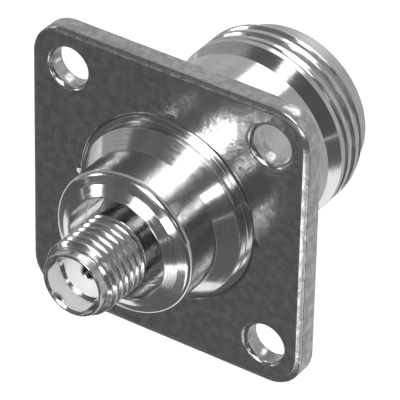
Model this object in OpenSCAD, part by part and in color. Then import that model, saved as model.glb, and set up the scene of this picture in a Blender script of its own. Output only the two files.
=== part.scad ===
// Flanged coaxial adapter: a large threaded jack behind a square flange and a small threaded
// jack in front of it, on one axis. All lengths are in millimetres.
// The flange stands upright, as it does on a panel: the small jack points along -Y, the large
// jack along +Y, X is to the right and Z is up. The origin is on the axis, in the flange's front face.

/* [Flange] */
// side of the square flange
flange_side = 25; // [24.4:0.1:28]
// thickness of the flange plate
flange_thick = 1.75; // [1.2:0.05:3]
// radius of the flange's four corners
corner_r = 3; // [1.5:0.1:3.6]
// width of the worn bevel round the flange's front face
bevel_wide = 0.5; // [0.1:0.05:0.8]
// depth of the worn bevel round the flange's front face
bevel_deep = 0.15; // [0.05:0.05:0.4]
// distance between neighbouring screw holes
hole_pitch = 18.3; // [17.6:0.05:18.6]
// diameter of the four screw holes
hole_d = 3.35; // [2.6:0.05:3.6]
// chamfer at both mouths of each screw hole
hole_edge = 0.28; // [0.05:0.01:0.34]
// diameter of the body's seat in the flange plate
seat_d = 15.8; // [15.75:0.05:16.4]
// chamfer that marks the joint between the seat and the plate
seat_edge = 0.14; // [0.05:0.01:0.3]

/* [Hub] */
// diameter of the hub's base
hub_base_d = 14.6; // [13.6:0.1:15.2]
// height of the hub's base above the flange
hub_base_h = 1; // [0.5:0.1:1.8]
// diameter of the straight part of the hub
hub_d = 12.2; // [11.6:0.1:13]
// length of the cone between the hub's base and its straight part
hub_cone_h = 1.3; // [0.6:0.1:2]
// length of the straight part of the hub
hub_straight_h = 3.16; // [2.5:0.01:5]
// width of the rounding at the rim's outer edge
rim_round_w = 0.25; // [0.1:0.01:0.35]
// height of that rounding
rim_round_h = 0.44; // [0.2:0.01:0.6]
// radius of that rounding
rim_round_r = 0.5; // [0.4:0.01:2]
// height of the outer slope of the rim
rim_slope_h = 0.32; // [0.2:0.01:0.8]
// diameter of the edge between the rim's two slopes
rim_knee_d = 10.4; // [9.8:0.1:11]
// height of the inner slope of the rim
rim_crown_h = 0.57; // [0.2:0.01:0.9]
// diameter of the recess round the small jack
recess_d = 8.64; // [7.6:0.02:9.4]
// depth of the recess below the rim's crown
recess_depth = 2.35; // [1.2:0.05:3]

/* [Large jack] */
// diameter of the plain neck behind the flange
neck_d = 15; // [14.4:0.1:15.6]
// length of the plain neck
neck_len = 9.45; // [6:0.05:14]
// diameter of the relief groove before the thread
groove_d = 14.1; // [13.6:0.1:14.3]
// length of the relief groove, from the neck to the thread
groove_len = 1.4; // [0.8:0.1:2.5]
// length of the groove's wall at the neck
groove_wall = 0.15; // [0.05:0.05:0.4]
// length of the groove's floor, before it rises to the thread's crests
groove_floor = 0.1; // [0.05:0.05:0.5]
// diameter over the thread's crests, 24 threads to the inch
thread_d = 15.7; // [15.2:0.01:15.74]
// length of the threaded part
thread_len = 3.4; // [2.4:0.1:6]
// length of the chamfer at the thread's outer end
thread_lead = 0.4; // [0.2:0.05:0.8]
// diameter of the plain nose in front of the thread
nose_d = 13.9; // [12.6:0.1:14.2]
// length of the plain nose
nose_len = 1.65; // [0.8:0.05:3]
// chamfer at the outer edge of the nose
nose_edge = 0.2; // [0.1:0.05:0.5]
// bore that takes the outer contact of the mating plug
mouth_d = 8.1; // [7.9:0.01:8.3]
// depth of that bore, down to the electrical reference plane
mouth_depth = 9.1; // [8:0.05:10]
// chamfer at the bore's mouth
mouth_edge = 0.45; // [0.2:0.05:0.8]

/* [Small jack] */
// diameter over the thread's crests, 36 threads to the inch
small_thread_d = 6.25; // [6.1:0.01:6.35]
// length of the threaded part
small_thread_len = 4.8; // [3.5:0.05:6.5]
// chamfer at both ends of the small thread
small_thread_lead = 0.25; // [0.1:0.05:0.4]
// diameter of the plain shank between the recess and the thread
shank_d = 5.6; // [5.2:0.05:6]
// length of the plain shank, from the recess floor
shank_len = 2.4; // [1.6:0.05:4]
// outer diameter of the lip at the small jack's mouth
lip_d = 5.3; // [5.1:0.02:5.6]
// length of the lip in front of the thread
lip_len = 0.8; // [0.4:0.05:1.5]
// bore at the small jack's mouth
small_mouth_d = 4.6; // [4.5:0.01:4.7]
// depth of that bore, down to the reference plane
small_mouth_depth = 1.95; // [1.5:0.05:2.4]
// chamfer at the small jack's mouth
small_mouth_edge = 0.14; // [0.05:0.01:0.2]
// diameter of the small jack's press seat in the body
small_seat_d = 6.6; // [6:0.05:7.4]
// depth of that press seat below the recess floor
small_seat_depth = 3; // [2:0.1:4]

/* [Insulators] */
// diameter of the long insulator in the small jack
sleeve_d = 4.15; // [3.9:0.01:4.3]
// length of the insulating bead at the inner end of the large bore
bead_len = 2.5; // [1.5:0.05:3.5]
// length of the metal bush pressed in behind the reference plane
bush_len = 2.6; // [1.5:0.05:3.5]
// bore of that bush, the outer diameter of the large coaxial line
bush_bore_d = 7; // [6.6:0.01:7.4]

/* [Contacts] */
// outer diameter of the large socket contact
large_contact_d = 3.04; // [2.9:0.01:3.2]
// how far the large contact stands out past the reference plane
large_contact_out = 5; // [4.5:0.05:5.6]
// bore of the large socket contact
large_socket_d = 1.66; // [1.55:0.01:1.8]
// depth of the large socket contact's bore
large_socket_depth = 5.2; // [4:0.1:7]
// width of the four slots in the large socket contact
large_slot_w = 0.26; // [0.15:0.01:0.3]
// length of those slots
large_slot_len = 3.8; // [2.5:0.1:4.8]
// diameter of the large contact's stem through the bead, for the same 50 ohm as the air line
stem_d = 2.45; // [1.8:0.05:2.6]
// outer diameter of the small socket contact
small_contact_d = 1.27; // [1.2:0.01:1.34]
// how far the small contact stands back from the reference plane
small_contact_back = 0.05; // [0:0.01:0.2]
// bore of the small socket contact
small_socket_d = 0.93; // [0.88:0.01:0.98]
// depth of the small socket contact's bore
small_socket_depth = 2.7; // [2.2:0.1:4]
// width of the four slots in the small socket contact
small_slot_w = 0.12; // [0.08:0.01:0.14]
// length of those slots
small_slot_len = 2; // [1.2:0.1:2.6]
// diameter of the small contact's tail, pressed into the stem
tail_d = 0.8; // [0.6:0.02:0.9]
// length of that tail
tail_len = 1.8; // [1:0.1:2.2]

/* [Hidden] */
round_fn = 96;
arc_steps = 4;
// heights are counted along the axis from the flange's front face, towards the small jack
hub_cone_z = hub_base_h + hub_cone_h;
rim_z = hub_cone_z + hub_straight_h;
knee_z = rim_z + rim_round_h + rim_slope_h;
crown_z = knee_z + rim_crown_h;
recess_z = crown_z - recess_depth;
small_seat_z = recess_z - small_seat_depth;
small_thread_z = recess_z + shank_len;
lip_z = small_thread_z + small_thread_len;
tip_z = lip_z + lip_len;
small_plane_z = tip_z - small_mouth_depth;
// and below it, towards the large jack
neck_z = -flange_thick - neck_len;
thread_z = neck_z - groove_len;
nose_z = thread_z - thread_len;
end_z = nose_z - nose_len;
plane_z = end_z + mouth_depth;
bead_z = plane_z + bush_len;
pocket_z = bead_z + bead_len;
hole_wall = 1;

// turns a profile of (radius, height) points about the adapter's axis
module turned(points) {
  rotate([90, 0, 0]) rotate_extrude($fn = round_fn) polygon(points);
}

// the points between a and b on the arc of radius r that bulges to the left of the way from a to b
function arc_between(a, b, r) =
  let (half = (b - a) / 2, reach = norm(half),
       centre = a + half + [half[1], -half[0]] * sqrt(r * r - reach * reach) / reach,
       from = atan2(a[1] - centre[1], a[0] - centre[0]),
       to = atan2(b[1] - centre[1], b[0] - centre[0]))
  [for (i = [1:arc_steps - 1])
    centre + r * [cos(from + (to - from) * i / arc_steps), sin(from + (to - from) * i / arc_steps)]];

// a bar across the flange, bevelled at its two ends
module bevelled_bar() {
  half = flange_side / 2;
  rotate([0, 0, 90]) rotate([90, 0, 0])
    linear_extrude(flange_side - 2 * corner_r, center = true)
      polygon([[-half, -flange_thick], [half, -flange_thick], [half, -bevel_deep],
               [half - bevel_wide, 0], [-half + bevel_wide, 0], [-half, -bevel_deep]]);
}

// one rounded corner of the flange with the same bevel
module bevelled_corner() {
  translate([0, 0, -flange_thick]) cylinder(h = flange_thick - bevel_deep, r = corner_r, $fn = round_fn);
  translate([0, 0, -bevel_deep])
    cylinder(h = bevel_deep, r1 = corner_r, r2 = corner_r - bevel_wide, $fn = round_fn);
}

// a screw hole with both mouths chamfered
module screw_hole() {
  translate([0, 0, -flange_thick - hole_wall])
    cylinder(h = flange_thick + 2 * hole_wall, d = hole_d, $fn = round_fn);
  translate([0, 0, -hole_edge])
    cylinder(h = 2 * hole_edge, d1 = hole_d, d2 = hole_d + 4 * hole_edge, $fn = round_fn);
  translate([0, 0, -flange_thick - hole_edge])
    cylinder(h = 2 * hole_edge, d1 = hole_d + 4 * hole_edge, d2 = hole_d, $fn = round_fn);
}

// square plate, bored for the body's seat and drilled for four screws
module flange() {
  corner = flange_side / 2 - corner_r;
  color([0.62, 0.62, 0.6]) rotate([90, 0, 0]) difference() {
    union() {
      bevelled_bar();
      rotate([0, 0, 90]) bevelled_bar();
      for (x = [-corner, corner], y = [-corner, corner]) translate([x, y, 0]) bevelled_corner();
    }
    translate([0, 0, -flange_thick - hole_wall])
      cylinder(h = flange_thick + 2 * hole_wall, d = seat_d, $fn = round_fn);
    for (x = [-hole_pitch / 2, hole_pitch / 2], y = [-hole_pitch / 2, hole_pitch / 2])
      translate([x, y, 0]) screw_hole();
  }
}

// the turned body: rim, hub, flange seat, neck, threaded shell and stepped bore in one piece
module body() {
  rim = [hub_d / 2, rim_z];
  shoulder = rim + [-rim_round_w, rim_round_h];
  color([0.74, 0.74, 0.72]) turned([
    [recess_d / 2, recess_z], [recess_d / 2, crown_z], [rim_knee_d / 2, knee_z],
    shoulder, each arc_between(shoulder, rim, rim_round_r), rim, [hub_d / 2, hub_cone_z],
    [hub_base_d / 2, hub_base_h], [hub_base_d / 2, 0],
    [seat_d / 2 - seat_edge, 0], [seat_d / 2, -seat_edge], [seat_d / 2, -flange_thick],
    [neck_d / 2, -flange_thick], [neck_d / 2, neck_z], [groove_d / 2, neck_z - groove_wall],
    [groove_d / 2, neck_z - groove_wall - groove_floor], [thread_d / 2, thread_z],
    [thread_d / 2, nose_z + thread_lead], [nose_d / 2, nose_z],
    [nose_d / 2, end_z + nose_edge], [nose_d / 2 - nose_edge, end_z],
    [mouth_d / 2 + mouth_edge, end_z], [mouth_d / 2, end_z + mouth_edge], [mouth_d / 2, pocket_z],
    [sleeve_d / 2, pocket_z], [sleeve_d / 2, small_seat_z], [small_seat_d / 2, small_seat_z],
    [small_seat_d / 2, recess_z]]);
}

// the small jack's threaded barrel, pressed into the floor of the recess
module small_barrel() {
  crest = small_thread_d / 2;
  color([0.78, 0.78, 0.76]) turned([
    [sleeve_d / 2, small_seat_z], [small_seat_d / 2, small_seat_z], [small_seat_d / 2, recess_z],
    [shank_d / 2, recess_z], [shank_d / 2, small_thread_z],
    [crest, small_thread_z + small_thread_lead], [crest, lip_z - small_thread_lead], [lip_d / 2, lip_z],
    [lip_d / 2, tip_z], [small_mouth_d / 2 + small_mouth_edge, tip_z],
    [small_mouth_d / 2, tip_z - small_mouth_edge], [small_mouth_d / 2, small_plane_z],
    [sleeve_d / 2, small_plane_z]]);
}

// the plain bush that gives the large jack its reference plane and holds the bead in
module bush() {
  color([0.7, 0.7, 0.68]) turned([
    [bush_bore_d / 2, plane_z], [mouth_d / 2, plane_z], [mouth_d / 2, bead_z], [bush_bore_d / 2, bead_z]]);
}

// the insulating bead that carries the large contact's stem
module bead() {
  color([0.95, 0.95, 0.93]) turned([
    [stem_d / 2, bead_z], [mouth_d / 2, bead_z], [mouth_d / 2, pocket_z], [stem_d / 2, pocket_z]]);
}

// the long insulator between the bead and the small jack's reference plane
module sleeve() {
  color([0.97, 0.97, 0.95]) turned([
    [small_contact_d / 2, pocket_z], [sleeve_d / 2, pocket_z], [sleeve_d / 2, small_plane_z],
    [small_contact_d / 2, small_plane_z]]);
}

// crossed slots that split a socket's wall into four spring fingers
module finger_slots(width, length, reach) {
  for (a = [45, 135]) rotate([0, 0, a]) translate([-reach, -width / 2, 0]) cube([2 * reach, width, length]);
}

// the large socket: four spring fingers in front, a stem through the bead behind
module large_contact() {
  front_z = plane_z - large_contact_out;
  skin = 0.15;
  color([0.82, 0.8, 0.74]) difference() {
    turned([
      [tail_d / 2, bead_z + bead_len - tail_len], [tail_d / 2, pocket_z], [stem_d / 2, pocket_z],
      [stem_d / 2, bead_z], [large_contact_d / 2, bead_z], [large_contact_d / 2, front_z + skin],
      [large_contact_d / 2 - skin, front_z], [large_socket_d / 2 + skin, front_z],
      [large_socket_d / 2, front_z + skin], [large_socket_d / 2, front_z + large_socket_depth],
      [0, front_z + large_socket_depth + large_socket_d / 4], [0, bead_z + bead_len - tail_len]]);
    rotate([90, 0, 0]) translate([0, 0, front_z - hole_wall])
      finger_slots(large_slot_w, large_slot_len + hole_wall, large_contact_d);
  }
}

// the small socket: four spring fingers in front, a tail pressed into the large contact's stem
module small_contact() {
  front_z = small_plane_z - small_contact_back;
  skin = 0.06;
  color([0.82, 0.8, 0.74]) difference() {
    turned([
      [0, pocket_z - tail_len], [tail_d / 2, pocket_z - tail_len], [tail_d / 2, pocket_z],
      [small_contact_d / 2, pocket_z], [small_contact_d / 2, front_z - skin],
      [small_contact_d / 2 - skin, front_z], [small_socket_d / 2 + skin, front_z],
      [small_socket_d / 2, front_z - skin], [small_socket_d / 2, front_z - small_socket_depth],
      [0, front_z - small_socket_depth - small_socket_d / 4]]);
    rotate([90, 0, 0]) translate([0, 0, front_z - small_slot_len])
      finger_slots(small_slot_w, small_slot_len + hole_wall, small_contact_d);
  }
}

flange();
body();
small_barrel();
bush();
bead();
sleeve();
large_contact();
small_contact();
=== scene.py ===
import math

import bmesh
import bpy
import numpy as np
from mathutils import Matrix, Vector


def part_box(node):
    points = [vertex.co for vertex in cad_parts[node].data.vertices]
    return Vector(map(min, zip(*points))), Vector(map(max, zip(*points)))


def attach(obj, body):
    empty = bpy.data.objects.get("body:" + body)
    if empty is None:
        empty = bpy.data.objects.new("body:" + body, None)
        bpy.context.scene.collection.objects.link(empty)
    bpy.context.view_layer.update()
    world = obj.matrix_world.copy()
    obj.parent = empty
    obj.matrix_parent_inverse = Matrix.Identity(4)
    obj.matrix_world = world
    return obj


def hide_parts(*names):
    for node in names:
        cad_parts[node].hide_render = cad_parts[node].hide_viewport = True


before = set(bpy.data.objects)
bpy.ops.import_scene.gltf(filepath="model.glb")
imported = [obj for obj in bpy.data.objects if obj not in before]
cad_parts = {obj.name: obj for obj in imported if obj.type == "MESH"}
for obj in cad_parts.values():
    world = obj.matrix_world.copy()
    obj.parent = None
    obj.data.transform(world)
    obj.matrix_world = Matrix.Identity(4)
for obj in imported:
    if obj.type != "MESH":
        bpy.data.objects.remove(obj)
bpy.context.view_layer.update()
mm = 0.001                      # every dictionary below is in millimetres and degrees
fullTurn = 2 * math.pi


camera = {
    "azimuth": 33.13,           # from straight in front of the small jack, towards +X
    "elevation": 35.0,
    "roll": 1.23,
    "aim": (1.949, 1.668, 0.473),
    "distance": 304.45,
    "fieldOfView": 5.725,
}


def makeCamera(look):
    # the camera looks at aim from distance away, turned by roll about its own line of sight
    azimuth, elevation = math.radians(look["azimuth"]), math.radians(look["elevation"])
    back = Vector((math.sin(azimuth) * math.cos(elevation),
                   -math.cos(azimuth) * math.cos(elevation), math.sin(elevation)))
    lens = bpy.data.cameras.new("camera")
    lens.angle = math.radians(look["fieldOfView"])
    lens.clip_start, lens.clip_end = 0.01, 10
    eye = bpy.data.objects.new("camera", lens)
    bpy.context.scene.collection.objects.link(eye)
    eye.rotation_mode = "QUATERNION"
    eye.location = Vector(look["aim"]) * mm + back * look["distance"] * mm
    turn = (-back).to_track_quat("-Z", "Y").to_matrix() @ Matrix.Rotation(math.radians(look["roll"]), 3, "Z")
    eye.rotation_quaternion = turn.to_quaternion()
    bpy.context.scene.camera = eye
    print("camera at", [round(c, 4) for c in eye.location])


makeCamera(camera)


def newGroup(name, inputs, outputs):
    # an empty shader node group with its sockets and its two end nodes
    group = bpy.data.node_groups.new(name, "ShaderNodeTree")
    for socketName, kind, value in inputs:
        socket = group.interface.new_socket(name=socketName, in_out="INPUT", socket_type=kind)
        if value is not None:
            socket.default_value = value
    for socketName, kind in outputs:
        group.interface.new_socket(name=socketName, in_out="OUTPUT", socket_type=kind)
    return group, group.nodes.new("NodeGroupInput"), group.nodes.new("NodeGroupOutput")


def addNode(tree, kind, settings=None, **sockets):
    # one node, its settings, and its inputs: a socket is linked and anything else is set as a value
    node = tree.nodes.new(kind)
    for key, value in (settings or {}).items():
        setattr(node, key, value)
    for key, value in sockets.items():
        place = int(key[1:]) if key[0] == "i" and key[1:].isdigit() else key.replace("_", " ")
        if isinstance(value, bpy.types.NodeSocket):
            tree.links.new(value, node.inputs[place])
        else:
            node.inputs[place].default_value = value
    return node


def maths(tree, operation, a, b=None):
    # one arithmetic node on one or two values
    values = {"i0": a} if b is None else {"i0": a, "i1": b}
    return addNode(tree, "ShaderNodeMath", {"operation": operation}, **values).outputs[0]


def noise(tree, vector, scale, detail=2.0, rough=0.5):
    made = addNode(tree, "ShaderNodeTexNoise", None, Vector=vector, Scale=scale, Detail=detail,
                   Roughness=rough)
    return made.outputs["Fac"]


def remap(tree, value, low, high, toLow=0.0, toHigh=1.0, smooth=True):
    made = addNode(tree, "ShaderNodeMapRange",
                   {"interpolation_type": "SMOOTHSTEP" if smooth else "LINEAR", "clamp": True},
                   Value=value, From_Min=low, From_Max=high, To_Min=toLow, To_Max=toHigh)
    return made.outputs[0]


def combine(tree, x, y, z):
    return addNode(tree, "ShaderNodeCombineXYZ", None, i0=x, i1=y, i2=z).outputs[0]


# turning marks: fine rings round the Y axis, broken along their length as a lathe tool leaves them.
# The pattern is noise of (distance along the profile, cosine, sine of the angle).
ringMarks = {"slant": 0.73, "coarse": 0.23, "coarseBreak": 0.6, "fineShare": 0.6, "coarseShare": 0.8,
             "cloud": 260.0, "axisGuard": 1e-5}


def makeTurningGroup(look):
    group, given, result = newGroup(
        "turningMarks",
        [("Lines", "NodeSocketFloat", 9.0), ("Break", "NodeSocketFloat", 1.0)],
        [("Height", "NodeSocketFloat"), ("Streak", "NodeSocketFloat"), ("Cloud", "NodeSocketFloat")])
    place = addNode(group, "ShaderNodeTexCoord").outputs["Object"]
    parts = addNode(group, "ShaderNodeSeparateXYZ", None, Vector=place)
    x, y, z = parts.outputs
    radius = maths(group, "SQRT", maths(group, "ADD", maths(group, "MULTIPLY", x, x),
                                        maths(group, "MULTIPLY", z, z)))
    safe = maths(group, "MAXIMUM", radius, look["axisGuard"])
    cosine, sine = maths(group, "DIVIDE", x, safe), maths(group, "DIVIDE", z, safe)
    slanted = maths(group, "ADD", y, maths(group, "MULTIPLY", radius, look["slant"]))
    along = maths(group, "MULTIPLY", slanted, 1 / mm)
    fine = maths(group, "MULTIPLY", along, given.outputs["Lines"])
    coarse = maths(group, "MULTIPLY", fine, look["coarse"])
    wide = given.outputs["Break"]
    fineVector = combine(group, fine, maths(group, "MULTIPLY", cosine, wide),
                         maths(group, "MULTIPLY", sine, wide))
    half = maths(group, "MULTIPLY", wide, look["coarseBreak"])
    coarseVector = combine(group, coarse, maths(group, "MULTIPLY", cosine, half),
                           maths(group, "MULTIPLY", sine, half))
    fineNoise = noise(group, fineVector, 1.0, 3.0, 0.6)
    coarseNoise = noise(group, coarseVector, 1.0, 2.0, 0.5)
    height = maths(group, "ADD", maths(group, "MULTIPLY", fineNoise, look["fineShare"]),
                   maths(group, "MULTIPLY", coarseNoise, look["coarseShare"]))
    group.links.new(height, result.inputs["Height"])
    group.links.new(remap(group, fineNoise, 0.35, 0.65), result.inputs["Streak"])
    group.links.new(noise(group, place, look["cloud"], 3.0, 0.55), result.inputs["Cloud"])
    return group


# tumbled plating: soft hollows, small pits that catch the light, and stains, from noise at three scales
drumMarks = {"hollows": 900.0, "grain": 3600.0, "pitCells": 1500.0, "stains": 1300.0, "pitShare": 0.3,
             "pitCore": 0.08, "pitEdge": 0.4, "hollowDeep": 0.8, "grainDeep": 0.16, "pitDeep": 0.5}


def makeTumbledGroup(look):
    group, given, result = newGroup(
        "tumbledPlating", [("Pits", "NodeSocketFloat", 0.5)],
        [("Height", "NodeSocketFloat"), ("Stain", "NodeSocketFloat")])
    place = addNode(group, "ShaderNodeTexCoord").outputs["Object"]
    hollows = noise(group, place, look["hollows"], 3.0, 0.55)
    grain = noise(group, place, look["grain"], 3.0, 0.6)
    cells = addNode(group, "ShaderNodeTexVoronoi", {"feature": "F1"}, Vector=place,
                    Scale=look["pitCells"], Randomness=1.0)
    share = maths(group, "MULTIPLY", given.outputs["Pits"], look["pitShare"])
    lot = addNode(group, "ShaderNodeSeparateColor", None, Color=cells.outputs["Color"]).outputs[0]
    chosen = remap(group, lot, maths(group, "SUBTRACT", 1.0, share), 1.0)
    hollow = remap(group, cells.outputs["Distance"], look["pitCore"], look["pitEdge"], 1.0, 0.0)
    pit = maths(group, "MULTIPLY", hollow, chosen)
    waves = maths(group, "ADD", maths(group, "MULTIPLY", hollows, look["hollowDeep"]),
                  maths(group, "MULTIPLY", grain, look["grainDeep"]))
    height = maths(group, "SUBTRACT", waves, maths(group, "MULTIPLY", pit, look["pitDeep"]))
    group.links.new(height, result.inputs["Height"])
    group.links.new(noise(group, place, look["stains"], 4.0, 0.65), result.inputs["Stain"])
    return group


turningGroup = makeTurningGroup(ringMarks)
tumbledGroup = makeTumbledGroup(drumMarks)


def placeGroup(tree, group, **values):
    node = tree.nodes.new("ShaderNodeGroup")
    node.node_tree = group
    for key, value in values.items():
        if isinstance(value, bpy.types.NodeSocket):
            tree.links.new(value, node.inputs[key])
        else:
            node.inputs[key].default_value = value
    return node


def newMaterial(name):
    # a material with a Principled shader and its output, and nothing else
    made = bpy.data.materials.new(name)
    made.use_nodes = True
    tree = made.node_tree
    tree.nodes.clear()
    shader = tree.nodes.new("ShaderNodeBsdfPrincipled")
    output = tree.nodes.new("ShaderNodeOutputMaterial")
    tree.links.new(shader.outputs[0], output.inputs[0])
    return made, tree, shader


def mixColours(tree, share, first, second):
    made = addNode(tree, "ShaderNodeMix", {"data_type": "RGBA"}, i0=share)
    for place, value in ((6, first), (7, second)):
        if isinstance(value, bpy.types.NodeSocket):
            tree.links.new(value, made.inputs[place])
        else:
            made.inputs[place].default_value = (*value, 1)
    return made.outputs[2]


def linkBump(tree, shader, height, distance):
    bump = addNode(tree, "ShaderNodeBump", None, Height=height, Strength=1.0, Distance=distance)
    tree.links.new(bump.outputs[0], shader.inputs["Normal"])


turnedNickel = {
    "bright": (0.7, 0.7, 0.69), "dull": (0.56, 0.56, 0.56),
    "polish": 0.08, "drag": 0.2, "lines": 11.0, "broken": 3.0, "cut": 0.0014,
    "matte": 0.3, "matteFrom": 15.9, "matteFade": 0.3,
}


def makeTurnedNickel(name, look):
    # bright nickel over turned brass: ring marks in the bump, the colour and the roughness
    made, tree, shader = newMaterial(name)
    marks = placeGroup(tree, turningGroup, Lines=look["lines"], Break=look["broken"])
    share = maths(tree, "MULTIPLY", marks.outputs["Streak"], remap(tree, marks.outputs["Cloud"], 0.3, 0.7))
    tree.links.new(mixColours(tree, share, look["bright"], look["dull"]), shader.inputs["Base Color"])
    along = addNode(tree, "ShaderNodeSeparateXYZ", None,
                    Vector=addNode(tree, "ShaderNodeTexCoord").outputs["Object"]).outputs[1]
    matteFull = look["matteFrom"] + look["matteFade"]
    matte = remap(tree, along, look["matteFrom"] * mm, matteFull * mm, 0.0, look["matte"])
    rough = remap(tree, marks.outputs["Streak"], 0.0, 1.0, look["polish"], look["drag"], smooth=False)
    tree.links.new(maths(tree, "ADD", rough, matte), shader.inputs["Roughness"])
    shader.inputs["Metallic"].default_value = 1.0
    linkBump(tree, shader, marks.outputs["Height"], look["cut"] * mm)
    return made


tumbledNickel = {
    "clean": (0.66, 0.66, 0.65), "stain": (0.46, 0.46, 0.455), "polish": 0.13, "haze": 0.26,
    "pits": 0.8, "depth": 0.03,
}


def makeTumbledNickel(name, look):
    # the flange's plating: uneven from the tumbling drum, stained in patches and pitted
    made, tree, shader = newMaterial(name)
    wear = placeGroup(tree, tumbledGroup, Pits=look["pits"])
    stain = remap(tree, wear.outputs["Stain"], 0.35, 0.65)
    tree.links.new(mixColours(tree, stain, look["clean"], look["stain"]), shader.inputs["Base Color"])
    tree.links.new(remap(tree, wear.outputs["Stain"], 0.3, 0.7, look["polish"], look["haze"], smooth=False),
                   shader.inputs["Roughness"])
    shader.inputs["Metallic"].default_value = 1.0
    linkBump(tree, shader, wear.outputs["Height"], look["depth"] * mm)
    return made


waxyInsulator = {
    "clean": (0.92, 0.92, 0.91), "marked": (0.86, 0.86, 0.85), "lines": 14.0, "broken": 1.5,
    "rough": 0.45, "seep": 0.2, "seepDeep": 0.4, "cut": 0.002,
}


def makeInsulator(name, look):
    # white PTFE: waxy, with faint turning marks
    made, tree, shader = newMaterial(name)
    marks = placeGroup(tree, turningGroup, Lines=look["lines"], Break=look["broken"])
    tree.links.new(mixColours(tree, marks.outputs["Streak"], look["clean"], look["marked"]),
                   shader.inputs["Base Color"])
    shader.inputs["Roughness"].default_value = look["rough"]
    shader.inputs["Subsurface Weight"].default_value = look["seep"]
    shader.inputs["Subsurface Radius"].default_value = [look["seepDeep"] * mm] * 3
    linkBump(tree, shader, marks.outputs["Height"], look["cut"] * mm)
    return made


shellFinish = makeTurnedNickel("turnedShell", turnedNickel)
barrelFinish = makeTurnedNickel("turnedBarrel", {**turnedNickel, "lines": 14.0})
contactFinish = makeTurnedNickel("platedContact", {
    **turnedNickel, "bright": (0.74, 0.73, 0.7), "dull": (0.6, 0.59, 0.57), "lines": 16.0, "polish": 0.18})
plateFinish = makeTumbledNickel("tumbledPlate", tumbledNickel)
insulatorFinish = makeInsulator("whiteInsulator", waxyInsulator)
print("materials made")


def gridFaces(rows, columns, closeRows, closeColumns):
    # quads between neighbouring points of a grid, numbered row by row
    i = np.arange(rows if closeRows else rows - 1)[:, None]
    j = np.arange(columns if closeColumns else columns - 1)[None, :]
    iNext, jNext = (i + 1) % rows, (j + 1) % columns
    quads = [i * columns + j, iNext * columns + j, iNext * columns + jNext, i * columns + jNext]
    return np.stack(quads, -1).reshape(-1, 4)


def makeMesh(name, points, faces, finish, slotName, *nodes):
    # a mesh object in the row frame, facing outwards, that stands for the named nodes
    mesh = bpy.data.meshes.new(name)
    mesh.vertices.add(len(points))
    mesh.vertices.foreach_set("co", points.astype(np.float32).ravel())
    faces = np.asarray(faces, np.int32)
    mesh.loops.add(faces.size)
    mesh.loops.foreach_set("vertex_index", faces.ravel())
    mesh.polygons.add(len(faces))
    mesh.polygons.foreach_set("loop_start", np.arange(0, faces.size, faces.shape[1], dtype=np.int32))
    mesh.update(calc_edges=True)
    mesh.validate()
    mesh.polygons.foreach_set("use_smooth", np.ones(len(mesh.polygons), bool))
    piece = bpy.data.objects.new(name, mesh)
    bpy.context.scene.collection.objects.link(piece)
    mesh.materials.append(finish)
    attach(piece, "root")
    if nodes:
        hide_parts(*nodes)
    print("made", name, len(mesh.polygons), "faces")
    return piece


def softened(corners, closed=True, arcSteps=4, guard=0.6):
    # a profile with its corners rounded: each corner is (radius, along, rounding), and an arc of arcSteps
    # spans joins its two sides; a guard point near each arc keeps the long sides flat
    corners = [np.array(c, float) for c in corners]
    count = len(corners)
    out = []
    for k in range(count):
        here, rounding = corners[k][:2], corners[k][2]
        if not closed and k in (0, count - 1) or rounding <= 0:
            out.append(here[None])
            continue
        before, after = corners[k - 1][:2] - here, corners[(k + 1) % count][:2] - here
        lengthBefore, lengthAfter = np.linalg.norm(before), np.linalg.norm(after)
        a, b = before / lengthBefore, after / lengthAfter
        half = math.acos(max(-1.0, min(1.0, float(a @ b)))) / 2
        reach = min(rounding / math.tan(half), 0.45 * lengthBefore, 0.45 * lengthAfter)
        radius = reach * math.tan(half)
        centre = here + (a + b) / np.linalg.norm(a + b) * (radius / math.sin(half))
        start, end = here + a * reach - centre, here + b * reach - centre
        share = np.linspace(0, 1, arcSteps + 1)[:, None]
        spread = math.pi - 2 * half
        arc = (np.sin((1 - share) * spread) * start + np.sin(share * spread) * end) / math.sin(spread)
        ease = guard * reach
        first = here + a * min(reach + ease, 0.49 * lengthBefore)
        last = here + b * min(reach + ease, 0.49 * lengthAfter)
        out.append(np.vstack([first, centre + arc, last]))
    return np.vstack(out)


def finerBetween(profile, low, high, step):
    # the profile with extra points wherever it runs between low and high along the axis
    out = []
    for a, b in zip(profile, np.roll(profile, -1, axis=0)):
        length = np.linalg.norm(b - a)
        inside = low <= min(a[1], b[1]) and max(a[1], b[1]) <= high
        pieces = max(1, int(math.ceil(length / step))) if inside else 1
        out.append(a + (b - a) * (np.arange(pieces) / pieces)[:, None])
    return np.vstack(out)


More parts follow.
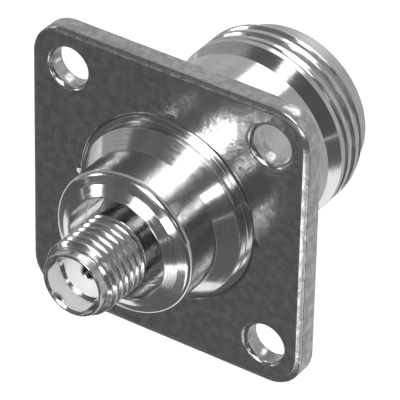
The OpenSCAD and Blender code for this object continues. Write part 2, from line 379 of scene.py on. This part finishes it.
def turned(name, profile, columns, finish, slotName, *nodes, thread=None):
    # a closed profile of (radius, along) turned about the Y axis. With a thread, a point's radius is the
    # lesser of the profile's and the thread form's: the crest less the flank's drop, which grows by the tangent
    # of 60 degrees from the crest's flat to the depth, where phase = along / pitch + angle / full turn + start
    angle = np.arange(columns) * fullTurn / columns
    radius = np.repeat(profile[:, :1], columns, 1)
    along = np.repeat(profile[:, 1:], columns, 1)
    if thread:
        phase = (along / thread["pitch"] + angle / fullTurn + thread["start"]) % 1.0
        offset = np.abs(phase - 0.5) * thread["pitch"]
        drop = np.clip((offset - thread["crestFlat"] / 2) * math.sqrt(3), 0, thread["depth"])
        runOut = np.clip((along - thread["low"]) / thread["runOut"], 0, 1)
        form = thread["crest"] - drop * runOut
        outside = radius > thread["crest"] - thread["depth"] - 0.01
        cut = (along >= thread["low"]) & (along <= thread["high"]) & outside
        radius = np.where(cut, np.minimum(radius, form), radius)
    points = np.stack([radius * np.cos(angle), along, radius * np.sin(angle)], -1).reshape(-1, 3) * mm
    faces = gridFaces(len(profile), columns, True, True)
    after = np.roll(profile, -1, axis=0)
    area = np.sum(profile[:, 0] * after[:, 1] - after[:, 0] * profile[:, 1])
    if area > 0:
        faces = faces[:, ::-1]
    return makeMesh(name, points, faces, finish, slotName, *nodes)


flangePlate = {
    "cornerRadius": 3.0, "bevelWide": 0.5, "bevelDeep": 0.15, "backEdge": 0.12,
    "holePitch": 18.3, "holeRadius": 1.675, "holeEdge": 0.28, "seatRadius": 7.9,
    "sideSteps": 24, "cornerSteps": 14, "seamSteps": 5, "seatSteps": 40, "faceSteps": 14,
}


def quarterOutline(look, half, inset):
    # boundary of one quarter of a face, counter-clockwise from the +X side: half a side, the corner arc,
    # half the next side, the seam, the seat's arc and the other seam; with each rim point's outward direction
    reach, corner = half - inset, half - look["cornerRadius"]
    arc = look["cornerRadius"] - inset
    n = look["sideSteps"]
    up = np.linspace(0, corner, n, endpoint=False)
    bend = np.linspace(0, math.pi / 2, look["cornerSteps"], endpoint=False)
    back = np.linspace(corner, 0, n, endpoint=False)
    seat = look["seatRadius"]
    seamShare = np.linspace(0, 1, look["seamSteps"], endpoint=False)
    seatTurn = np.linspace(math.pi / 2, 0, look["seatSteps"], endpoint=False)
    points = np.vstack([
        np.stack([np.full(n, reach), up], 1),
        np.stack([corner + arc * np.cos(bend), corner + arc * np.sin(bend)], 1),
        np.stack([back, np.full(n, reach)], 1),
        np.stack([np.zeros(len(seamShare)), reach + (seat - reach) * seamShare], 1),
        np.stack([seat * np.cos(seatTurn), seat * np.sin(seatTurn)], 1),
        np.stack([seat + (reach - seat) * seamShare, np.zeros(len(seamShare))], 1)])
    outward = np.vstack([np.tile([1.0, 0.0], (n, 1)), np.stack([np.cos(bend), np.sin(bend)], 1),
                         np.tile([0.0, 1.0], (n, 1))])
    return points, outward


def quarterTurns(points):
    # the same (x, z) points in all four quarters
    return [points @ np.array([[math.cos(k), math.sin(k)], [-math.sin(k), math.cos(k)]])
            for k in np.arange(4) * math.pi / 2]


def makeFlange(look):
    # front and back face: each quarter is a grid between its screw hole's mouth and the quarter's outline;
    # the rim, the hole walls and the seat are profiles carried along those same outlines
    low, high = (np.array(c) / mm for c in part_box("flange"))
    half, thick = high[0], high[1] - low[1]
    bevel, deep, edge = look["bevelWide"], look["bevelDeep"], look["backEdge"]
    front, outward = quarterOutline(look, half, bevel + 0.05)
    backOutline, _ = quarterOutline(look, half, edge)
    centre = np.full(2, look["holePitch"] / 2)
    ray = front - centre
    ray /= np.linalg.norm(ray, axis=1)[:, None]
    mouth = centre + ray * (look["holeRadius"] + look["holeEdge"])
    share = np.linspace(0, 1, look["faceSteps"] + 1) ** 1.2
    allPoints, allFaces, count = [], [], 0

    def add(grid, closeColumns, flip):
        nonlocal count
        rows, columns = grid.shape[:2]
        faces = gridFaces(rows, columns, False, closeColumns)
        allPoints.append(grid.reshape(-1, 3))
        allFaces.append((faces[:, ::-1] if flip else faces) + count)
        count += rows * columns

    def lift(xz, y):
        return np.stack([xz[..., 0], np.broadcast_to(y, xz.shape[:-1]), xz[..., 1]], -1)

    # steps of (outward, along): the hole's mouth and wall here, the plate's rim further down
    mouthEdge = look["holeEdge"]
    wall = [(mouthEdge, 0.0), (mouthEdge * 0.5, mouthEdge * 0.35), (0.02, mouthEdge * 0.85),
            (0.0, mouthEdge + 0.05)]
    wall = wall + [(r, thick - y) for r, y in reversed(wall)]
    for quarter in range(4):
        turnTo = lambda xz: quarterTurns(xz)[quarter]
        f, m, b = turnTo(front), turnTo(mouth), turnTo(backOutline)
        add(lift(m[None] + (f - m)[None] * share[:, None, None], low[1]), True, False)
        add(lift(m[None] + (b - m)[None] * share[:, None, None], high[1]), True, True)
        c, r = turnTo(centre[None])[0], turnTo(ray)
        rows = [lift(c + r * (look["holeRadius"] + grow), low[1] + y) for grow, y in wall]
        add(np.stack(rows), True, True)
    rimCount = len(outward)
    rimFront = np.vstack([part[:rimCount] for part in quarterTurns(front)])
    rimOut = np.vstack(quarterTurns(outward))
    slope = deep / bevel
    rim = [(0.0, 0.0), (0.03, 0.002), (0.08, 0.05 * slope), (bevel * 0.5, bevel * 0.45 * slope),
           (bevel - 0.03, deep - 0.03 * slope), (bevel + 0.03, deep + 0.02), (bevel + 0.05, deep + 0.06),
           (bevel + 0.05, thick * 0.5), (bevel + 0.05, thick - edge), (bevel + 0.03, thick - edge * 0.4),
           (bevel + 0.05 - edge * 0.4, thick - edge * 0.08), (bevel + 0.05 - edge, thick)]
    add(np.stack([lift(rimFront + rimOut * o, low[1] + y) for o, y in rim]), True, False)
    seatStart = rimCount + look["seamSteps"]
    seatEnd = seatStart + look["seatSteps"]
    seat = np.vstack([part[seatStart:seatEnd] for part in quarterTurns(front)][::-1])
    add(np.stack([lift(seat, y) for y in (low[1], high[1])]), True, False)
    piece = makeMesh("flangePlate", np.vstack(allPoints) * mm, np.vstack(allFaces), plateFinish,
                     "plate", "flange")
    weld(piece)
    return piece


def weld(piece, distance=1e-7):
    # joins points that meet, so that the surface is closed, and turns its faces outwards
    work = bmesh.new()
    work.from_mesh(piece.data)
    bmesh.ops.remove_doubles(work, verts=work.verts, dist=distance)
    bmesh.ops.recalc_face_normals(work, faces=work.faces)
    openEdges = sum(1 for e in work.edges if len(e.link_faces) != 2)
    work.to_mesh(piece.data)
    work.free()
    piece.data.update()
    print(piece.name, "open edges:", openEdges)


makeFlange(flangePlate)


bodyShell = {
    "hubBase": 7.3, "hubBaseHigh": 1.0, "hub": 6.1, "coneHigh": 1.3, "straightHigh": 3.16,
    "roundHigh": 0.44, "rimDrop": 0.12, "rimRounding": 0.42, "knee": 5.2,
    "slopeHigh": 0.32, "crownHigh": 0.57,
    "recess": 4.32, "recessDeep": 2.35, "smallSeat": 3.3,
    "smallSeatDeep": 3.0, "seat": 7.9, "neck": 7.5, "neckLong": 9.45, "groove": 7.05, "grooveLong": 1.4,
    "grooveWall": 0.15, "grooveFloor": 0.1, "seatSink": 0.03, "seatEdge": 0.14, "seatEdgeDeep": 0.16,
    "threadLong": 3.4, "threadLead": 0.4, "nose": 6.95, "mouth": 4.05, "mouthDeep": 14.2,
    "mouthEdge": 0.45, "sleeve": 2.075, "threadRise": 0.45,
}
largeThread = {
    "crest": 7.85, "pitch": 25.4 / 24, "depth": 0.46, "crestFlat": 0.4, "start": 0.455, "runOut": 0.35,
}


def makeBody(look, thread):
    # the profile runs round the whole section, its front at low Y: rim, hub, seat, neck, thread, nose, bore
    low, high = (np.array(c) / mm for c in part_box("body"))
    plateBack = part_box("flange")[1][1] / mm
    cone = -look["hubBaseHigh"] - look["coneHigh"]
    rim = cone - look["straightHigh"]
    shoulder = rim - look["roundHigh"]
    knee = shoulder - look["slopeHigh"]
    crown = knee - look["crownHigh"]
    floor = crown + look["recessDeep"]
    seatFloor = floor + look["smallSeatDeep"]
    groove = plateBack + look["neckLong"]
    start = groove + look["grooveLong"]
    end = start + look["threadLong"]
    bore = high[1] - look["mouthDeep"]
    corners = [
        (look["recess"], floor, 0.05), (look["recess"], crown, 0.06), (look["knee"], knee, 0.05),
        (look["hub"], shoulder + look["rimDrop"], look["rimRounding"]), (look["hub"], cone, 0.06),
        (look["hubBase"], -look["hubBaseHigh"], 0.08), (look["hubBase"], look["seatSink"], 0.05),
        (look["seat"] - look["seatEdge"], look["seatSink"], 0.03), (look["seat"], look["seatEdgeDeep"], 0.03),
        (look["seat"], plateBack, 0.03), (look["neck"], plateBack, 0.05), (look["neck"], groove, 0.06),
        (look["groove"], groove + look["grooveWall"], 0.05),
        (look["groove"], groove + look["grooveWall"] + look["grooveFloor"], 0.1),
        (thread["crest"], start, 0.06), (thread["crest"], end - look["threadLead"], 0.04),
        (look["nose"], end, 0.06), (look["nose"], high[1], 0.2),
        (look["mouth"] + look["mouthEdge"], high[1], 0.06), (look["mouth"], high[1] - look["mouthEdge"], 0.06),
        (look["mouth"], bore, 0.05), (look["sleeve"], bore, 0.05), (look["sleeve"], seatFloor, 0.05),
        (look["smallSeat"], seatFloor, 0.05), (look["smallSeat"], floor, 0.05)]
    profile = finerBetween(softened(corners), start - 0.2, end + 0.1, 0.03)
    form = {**thread, "low": start + look["threadRise"], "high": end}
    return turned("bodyShell", profile, 256, shellFinish, "shell", "body", thread=form)


makeBody(bodyShell, largeThread)


smallBarrel = {
    "seat": 3.3, "seatDeep": 3.0, "shank": 2.8, "shankLong": 2.4, "threadLong": 4.8, "threadLead": 0.25,
    "lip": 2.65, "mouth": 2.3, "mouthDeep": 1.95, "mouthEdge": 0.14, "sleeve": 2.075,
}
smallThread = {
    "crest": 3.125, "pitch": 25.4 / 36, "depth": 0.38, "crestFlat": 0.16, "start": 0.0, "runOut": 0.1,
}


def makeSmallBarrel(look, thread):
    # from the press seat out along -Y: shank, thread, lip and the mouth's bore
    low, high = (np.array(c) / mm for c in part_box("small_barrel"))
    inner = high[1]
    floor = inner - look["seatDeep"]
    start = floor - look["shankLong"]
    lip = start - look["threadLong"]
    plane = low[1] + look["mouthDeep"]
    corners = [
        (look["sleeve"], inner, 0.05), (look["sleeve"], plane, 0.04), (look["mouth"], plane, 0.04),
        (look["mouth"], low[1] + look["mouthEdge"], 0.05), (look["mouth"] + look["mouthEdge"], low[1], 0.04),
        (look["lip"], low[1], 0.2), (look["lip"], lip, 0.04),
        (thread["crest"], lip + look["threadLead"], 0.04), (thread["crest"], start - look["threadLead"], 0.04),
        (look["shank"], start, 0.05), (look["shank"], floor, 0.05),
        (look["seat"], floor, 0.05), (look["seat"], inner, 0.05)]
    profile = finerBetween(softened(corners), lip - 0.05, start + 0.05, 0.022)
    form = {**thread, "low": lip, "high": start}
    return turned("smallBarrel", profile, 192, barrelFinish, "barrel", "small_barrel", thread=form)


makeSmallBarrel(smallBarrel, smallThread)


def makeRing(name, node, bore, finish, slotName, edge=0.06):
    # a plain ring with softened edges that fills its node's box down to the bore's radius
    low, high = (np.array(c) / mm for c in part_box(node))
    outer = high[0]
    corners = [(bore, low[1], edge), (outer, low[1], edge), (outer, high[1], edge), (bore, high[1], edge)]
    return turned(name, softened(corners), 160, finish, slotName, node)


makeRing("planeBush", "bush", 3.5, shellFinish, "shell")
makeRing("stemBead", "bead", 1.225, insulatorFinish, "insulator")
makeRing("longSleeve", "sleeve", 0.635, insulatorFinish, "insulator", edge=0.03)


def plateContacts(*names):
    # the slotted contacts keep their solids and only get their finish
    for name in names:
        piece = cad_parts[name]
        piece.data.materials.clear()
        piece.data.materials.append(contactFinish)


plateContacts("large_contact", "small_contact")
print("contacts plated")


studio = {
    "floorHeight": -60.0, "floorHalf": 1500.0, "skyLight": 0.45, "paperGlow": 0.42, "paperRough": 0.9,
    "paper": (0.93, 0.93, 0.93), "paperShade": (0.9, 0.9, 0.9), "paperGrain": 30.0,
}


def showMask(tree):
    # 1 for what the camera sees, straight or in metal or glass, and 0 for light that falls on the part
    path = addNode(tree, "ShaderNodeLightPath")
    seen = maths(tree, "MAXIMUM", path.outputs["Is Camera Ray"], path.outputs["Is Glossy Ray"])
    return maths(tree, "MAXIMUM", seen, path.outputs["Is Transmission Ray"])


def makeStudio(look):
    # a pale floor well below the part, and a white surround that only lights it softly
    scene = bpy.context.scene
    world = bpy.data.worlds.new("surround")
    scene.world = world
    world.use_nodes = True
    tree = world.node_tree
    tree.nodes.clear()
    strength = addNode(tree, "ShaderNodeMapRange", None, Value=showMask(tree),
                       To_Min=look["skyLight"], To_Max=1.0).outputs[0]
    light = addNode(tree, "ShaderNodeBackground", None, Color=(1, 1, 1, 1), Strength=strength)
    output = addNode(tree, "ShaderNodeOutputWorld")
    tree.links.new(light.outputs[0], output.inputs[0])
    side = look["floorHalf"] * mm
    mesh = bpy.data.meshes.new("floor")
    z = look["floorHeight"] * mm
    corners = [(-side, -side, z), (side, -side, z), (side, side, z), (-side, side, z)]
    mesh.from_pydata(corners, [], [(0, 1, 2, 3)])
    floor = bpy.data.objects.new("floor", mesh)
    scene.collection.objects.link(floor)
    paper, tree, shader = newMaterial("palePaper")
    tone = noise(tree, addNode(tree, "ShaderNodeTexCoord").outputs["Object"], look["paperGrain"], 2.0)
    tree.links.new(mixColours(tree, tone, look["paper"], look["paperShade"]), shader.inputs["Base Color"])
    shader.inputs["Roughness"].default_value = look["paperRough"]
    shader.inputs["Emission Color"].default_value = (1, 1, 1, 1)
    glow = maths(tree, "MULTIPLY", showMask(tree), look["paperGlow"])
    tree.links.new(glow, shader.inputs["Emission Strength"])
    mesh.materials.append(paper)


def direction(azimuth, elevation):
    a, e = math.radians(azimuth), math.radians(elevation)
    return Vector((math.sin(a) * math.cos(e), -math.cos(a) * math.cos(e), math.sin(e)))


# lamps by direction from the part: wide and high are half angles, and lampUsual holds what most share
lampUsual = {"away": 700, "lean": 0}
lamps = {
    "keyBox": {"azimuth": 5, "elevation": 33, "wide": 15, "high": 19, "lean": -25, "radiance": 6.0},
    "topBox": {"azimuth": 28, "elevation": 70, "wide": 9, "high": 8, "radiance": 2.0},
    "lowStrip": {"azimuth": 10, "elevation": -3, "wide": 4.5, "high": 6, "away": 300, "radiance": 4.0},
    "leftStrip": {"azimuth": -54, "elevation": 10, "wide": 5, "high": 7, "radiance": 5.0},
    "rightStrip": {"azimuth": 44.5, "elevation": 19.5, "wide": 3.5, "high": 5, "radiance": 5.0},
    "backBox": {"azimuth": 183, "elevation": 44, "wide": 18, "high": 8, "radiance": 1.5},
}
# painted reflections: glowing sheets round the part that light nothing and show only in the metal; a range of
# azimuth and how bright each is
glowSheetUsual = {"elevation": (-3.4, 88), "away": 1000}
reflectionGlowSheets = {
    "frontReflectionGlow": {"azimuth": (-70, 30), "glow": 0.14},
    "rightReflectionGlow": {"azimuth": (30, 100), "glow": 0.1},
    "backReflectionGlow": {"azimuth": (100, 230), "glow": 0.5},
    "leftReflectionGlow": {"azimuth": (230, 290), "glow": 0.4},
}
# painted reflections on the floor: glowing sheets that light nothing and show only in the metal; corners,
# height above the floor and brightness
floorReflectionGlows = {
    "frontFloorGlow": {"corners": ((-650, -640), (650, -640), (650, 0), (-650, 0)), "above": 1.0, "glow": 0.13},
    "backFloorGlow": {"corners": ((-650, 28), (650, 28), (650, 640), (-650, 640)), "above": 1.0, "glow": 0.55},
    "rightFloorGlow": {
        "corners": ((17, -35), (60, -84), (42, -100), (25, -90), (34, -76)), "above": 2.0, "glow": 2.0},
    "midFloorGlow": {"corners": ((5, -62), (18, -62), (20, -110), (5, -110)), "above": 2.0, "glow": 2.0},
    "nearFloorGlow": {"corners": ((-6, -46), (9, -46), (9, -56), (-6, -56)), "above": 2.0, "glow": 2.0},
}


def makeLamps(boxes):
    for name, own in boxes.items():
        box = {**lampUsual, **own}
        light = bpy.data.lights.new(name, "AREA")
        light.shape = "ELLIPSE"
        light.size = 2 * box["away"] * mm * math.tan(math.radians(box["wide"]))
        light.size_y = 2 * box["away"] * mm * math.tan(math.radians(box["high"]))
        light.energy = box["radiance"] * math.pi * math.pi / 4 * light.size * light.size_y
        lamp = bpy.data.objects.new(name, light)
        bpy.context.scene.collection.objects.link(lamp)
        back = direction(box["azimuth"], box["elevation"])
        lamp.location = back * box["away"] * mm
        lamp.rotation_mode = "QUATERNION"
        turn = back.to_track_quat("Z", "Y").to_matrix() @ Matrix.Rotation(math.radians(box["lean"]), 3, "Z")
        lamp.rotation_quaternion = turn.to_quaternion()


def hangReflectionGlow(name, points, faces, glow):
    # a glowing sheet that only reflections see, a painted reflection that lights nothing, its glow slightly
    # uneven
    mesh = bpy.data.meshes.new(name)
    mesh.from_pydata([list(p) for p in points], [], [list(f) for f in faces])
    made = bpy.data.materials.new(name)
    made.use_nodes = True
    tree = made.node_tree
    tree.nodes.clear()
    fuzz = noise(tree, addNode(tree, "ShaderNodeTexCoord").outputs["Object"], 5.0, 3.0)
    strength = remap(tree, fuzz, 0.3, 0.7, glow * 0.85, glow * 1.15)
    light = addNode(tree, "ShaderNodeEmission", None, Strength=strength)
    tree.links.new(light.outputs[0], tree.nodes.new("ShaderNodeOutputMaterial").inputs[0])
    mesh.materials.append(made)
    glowSheet = bpy.data.objects.new(name, mesh)
    bpy.context.scene.collection.objects.link(glowSheet)
    glowSheet.visible_camera = glowSheet.visible_diffuse = glowSheet.visible_shadow = glowSheet.visible_transmission = False


def makeReflectionGlowSheets(sheets):
    # each glowing sheet is a patch of a sphere round the part: the direction of (azimuth, elevation) times away
    for name, own in sheets.items():
        sheet = {**glowSheetUsual, **own}
        a, e = np.meshgrid(np.radians(np.linspace(*sheet["azimuth"], 33)),
                           np.radians(np.linspace(*sheet["elevation"], 17)))
        points = np.stack([np.sin(a) * np.cos(e), -np.cos(a) * np.cos(e), np.sin(e)], -1).reshape(-1, 3)
        points *= sheet["away"] * mm
        hangReflectionGlow(name, points.tolist(), gridFaces(*a.shape, False, False).tolist(), sheet["glow"])


# each floor sheet is a flat glowing polygon just above the floor, a painted reflection or painted highlight
# seen only in the metal
def makeFloorReflectionGlows(sheets, floorHeight):
    for name, sheet in sheets.items():
        height = (floorHeight + sheet["above"]) * mm
        corners = [(x * mm, y * mm, height) for x, y in sheet["corners"]]
        hangReflectionGlow(name, corners, [range(len(corners))], sheet["glow"])


makeStudio(studio)
makeLamps(lamps)
makeReflectionGlowSheets(reflectionGlowSheets)
makeFloorReflectionGlows(floorReflectionGlows, studio["floorHeight"])
print("studio made")
bpy.context.scene.view_settings.view_transform = "Standard"
